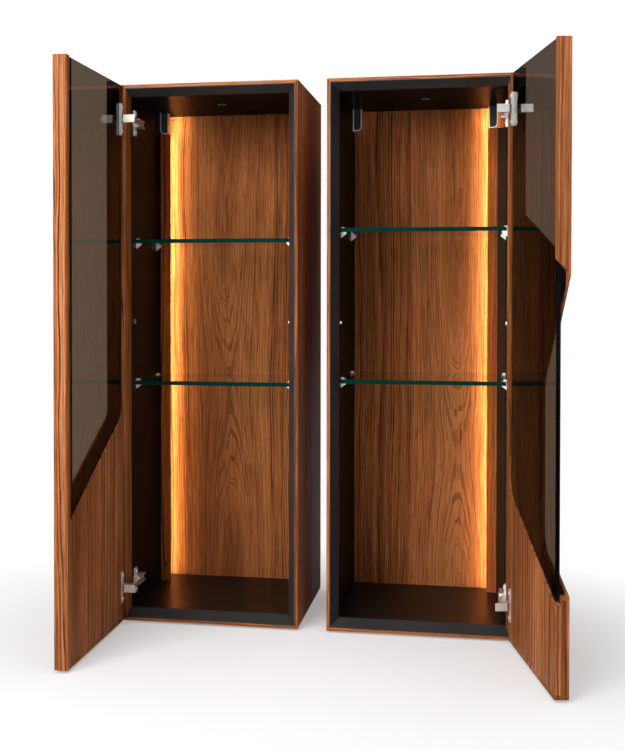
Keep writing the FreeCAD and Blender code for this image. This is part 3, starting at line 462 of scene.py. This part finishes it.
def light_sensor():
    """A black plastic disc with two small pale lenses, which glow faintly with a painted glint."""
    recipe = new_material("light_sensor_looks")
    place = recipe.place()
    grain = recipe.noise(place, PLASTIC_GRAIN)
    axes = recipe.split(place)
    low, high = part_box("light_sensors")
    from_middle = recipe.math("SUBTRACT", recipe.math("ABSOLUTE", axes["X"]), high[0] - SENSOR_RADIUS)
    aside = recipe.math("SUBTRACT", recipe.math("ABSOLUTE", from_middle), LENS_SPREAD)
    back = recipe.math("SUBTRACT", axes["Y"], (low[1] + high[1]) / 2)
    squares = recipe.math("ADD", recipe.math("POWER", aside, 2.0), recipe.math("POWER", back, 2.0))
    lens = recipe.math("LESS_THAN", recipe.math("SQRT", squares), LENS_RADIUS)
    black = recipe.blend(grain, SENSOR_DARK, SENSOR_PALE)
    colour = recipe.blend(lens, black, LENS_COLOUR)
    # Painted glint: the lenses glow faintly
    painted_glint = recipe.blend(lens, (0, 0, 0), LENS_PAINTED_GLINT)
    normal = recipe.bump(grain, strength=0.10, distance=0.0001)
    return recipe.finish(recipe.shade(colour, Roughness=0.4, Normal=normal, Emission_Color=painted_glint,
                                      Emission_Strength=1.0))


def led_diffuser():
    """Opal plastic, lit from behind."""
    recipe = new_material("led_diffuser_looks")
    grain = recipe.noise(recipe.place(), OPAL_GRAIN, detail=1)
    colour = recipe.blend(grain, OPAL_DARK, OPAL_PALE)
    normal = recipe.bump(grain, strength=0.05, distance=0.0001)
    return recipe.finish(recipe.shade(colour, Roughness=0.55, Normal=normal, Emission_Color=(*LED_COLOUR, 1),
                                      Emission_Strength=LED_STRENGTH))


def dress(node, material):
    mesh = frame["nodes"][node].data
    mesh.materials.clear()
    mesh.materials.append(material)


FINISHES = {
    "black_lacquer": black_lacquer("black_lacquer_looks", **LACQUER),
    "smoked_glass": smoked_glass(),
    "clear_glass": clear_glass(),
    **{slot: metal(f"{slot}_looks", **looks) for slot, looks in METALS.items()},
    "zinc_steel": zinc_steel(),
    "black_plastic": black_plastic(),
    "led_diffuser": led_diffuser(),
}

# Each walnut board has a veneer of its own, so that no two show the same figure
for seed, piece in enumerate(frame["record"]["subparts"], start=1):
    node, slot = piece["node"], piece["material_slot"]
    hand, _, board = node.partition("_")
    if slot == "figured_walnut":
        # The back panels' tone is raised by painted light, which makes up for the shade inside the cabinets
        dress(node, walnut(f"{node}_veneer", "Z", seed, FIGURED_PAINTED_LIGHT, HEARTS[hand]))
    elif slot == "walnut":
        stain = PELMET_STAIN if board == "light_pelmet" else NO_STAIN
        dress(node, walnut(f"{node}_veneer", "X" if board in GRAIN_ALONG_X else "Z", seed, stain))
    elif board in BOARD_LACQUERS:
        dress(node, black_lacquer(f"{node}_lacquer", **BOARD_LACQUERS[board]))
    elif node == "light_sensors":
        dress(node, light_sensor())
    else:
        dress(node, FINISHES[slot])


def seen_rays(recipe, gloss):
    """1 for rays from the camera and through glass, which show the white studio; gloss for reflections."""
    path = recipe.add("ShaderNodeLightPath").outputs
    straight = recipe.math("MAXIMUM", path["Is Camera Ray"], path["Is Transmission Ray"])
    return recipe.math("MAXIMUM", straight, recipe.math("MULTIPLY", path["Is Glossy Ray"], gloss))


def pale_floor():
    """A floor that takes shade near the object and shows plain white further away."""
    bpy.ops.mesh.primitive_plane_add(size=FLOOR_SIDE, location=(0, 0, FLOOR_HEIGHT))
    floor = bpy.context.object
    floor.name = "studio_floor"
    recipe = new_material("studio_floor_white")
    matt = recipe.add("ShaderNodeBsdfDiffuse", {"Color": (*FLOOR_PALE, 1)}).outputs[0]
    glow = recipe.add("ShaderNodeEmission", {"Strength": 1.0}).outputs[0]
    ends = {0: recipe.place(), 1: FLOOR_SHADE_CENTRE}
    away = recipe.add("ShaderNodeVectorMath", ends, operation="DISTANCE").outputs["Value"]
    glowing = recipe.between(away, low=FLOOR_SHADE_REACH, high=FLOOR_WHITE_FROM, start=FLOOR_GLOW)
    share = recipe.math("MULTIPLY", seen_rays(recipe, FLOOR_GLOSS), glowing)
    floor.data.materials.append(recipe.finish(recipe.mix_shaders(share, matt, glow)))


def white_world():
    """A white studio, which reflections see bright before the object and dim behind it."""
    recipe = Recipe(bpy.data.worlds.new("studio"))
    bpy.context.scene.world = recipe.owner
    path = recipe.add("ShaderNodeLightPath").outputs
    ambient = recipe.math("MULTIPLY", path["Is Diffuse Ray"], STUDIO_AMBIENT)
    turned = recipe.split(recipe.add("ShaderNodeTexCoord").outputs["Generated"])["Y"]
    gloss = recipe.between(turned, TURNED_BEHIND, TURNED_BEFORE, start=GLOSS_BEHIND, end=GLOSS_BEFORE)
    strength = recipe.math("MAXIMUM", seen_rays(recipe, gloss), ambient)
    sky = recipe.add("ShaderNodeBackground", {"Color": (*WHITE, 1), "Strength": strength})
    recipe.add("ShaderNodeOutputWorld", {"Surface": sky.outputs[0]})


def soft_light(name, place, target, size, watts, colour=WHITE):
    """A rectangular lamp that faces its target."""
    lamp = bpy.data.lights.new(name, "AREA")
    lamp.shape = "RECTANGLE"
    lamp.size, lamp.size_y = size
    lamp.energy = watts
    lamp.color = colour
    light = bpy.data.objects.new(name, lamp)
    bpy.context.scene.collection.objects.link(light)
    light.location = place
    toward = [t - p for t, p in zip(target, place)]
    tilt = math.atan2(math.hypot(*toward[:2]), -toward[2])
    turn = math.atan2(toward[0], -toward[1]) + math.pi
    light.rotation_euler = (tilt, 0, turn)


def strip_light(hand, inset, bottom, top):
    """A length of the strip that shines on the back panel, inset from the pelmet's free edge."""
    side = HANDS[hand]
    low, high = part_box(f"{hand}_light_pelmet")
    panel_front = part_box(f"{hand}_back_panel")[0][1]
    edge = side * min(abs(low[0]), abs(high[0]))
    place = (edge + side * inset, panel_front - LED_THROW, (bottom + top) / 2)
    target = (place[0], panel_front, place[2])
    watts = LED_WATTS_PER_METRE[hand] * (top - bottom)
    soft_light(f"{hand}_strip", place, target, (LED_WIDTH, top - bottom), watts, LED_COLOUR)


def photo_camera():
    """The photograph's camera."""
    lens = bpy.data.cameras.new("photo_camera")
    lens.sensor_width = CAMERA_SENSOR
    lens.lens = CAMERA_LENS
    lens.shift_x, lens.shift_y = CAMERA_SHIFT
    camera = bpy.data.objects.new("photo_camera", lens)
    bpy.context.scene.collection.objects.link(camera)
    camera.location = CAMERA_PLACE
    camera.rotation_euler = (math.pi / 2 + CAMERA_TILT, 0, CAMERA_TURN)
    bpy.context.scene.camera = camera


pale_floor()
white_world()
bracket_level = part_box("hanging_brackets")[0][2]
for hand in HANDS:
    floor_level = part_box(f"{hand}_lining_bottom")[1][2]
    ceiling_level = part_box(f"{hand}_lining_top")[0][2]
    strip_light(hand, LED_INSETS[hand], floor_level, bracket_level)
    strip_light(hand, LED_INSET_AT_BRACKET, bracket_level, ceiling_level)
for name, lamp in LAMPS.items():
    soft_light(name, **lamp)
photo_camera()
bpy.context.scene.view_settings.view_transform = "Standard"
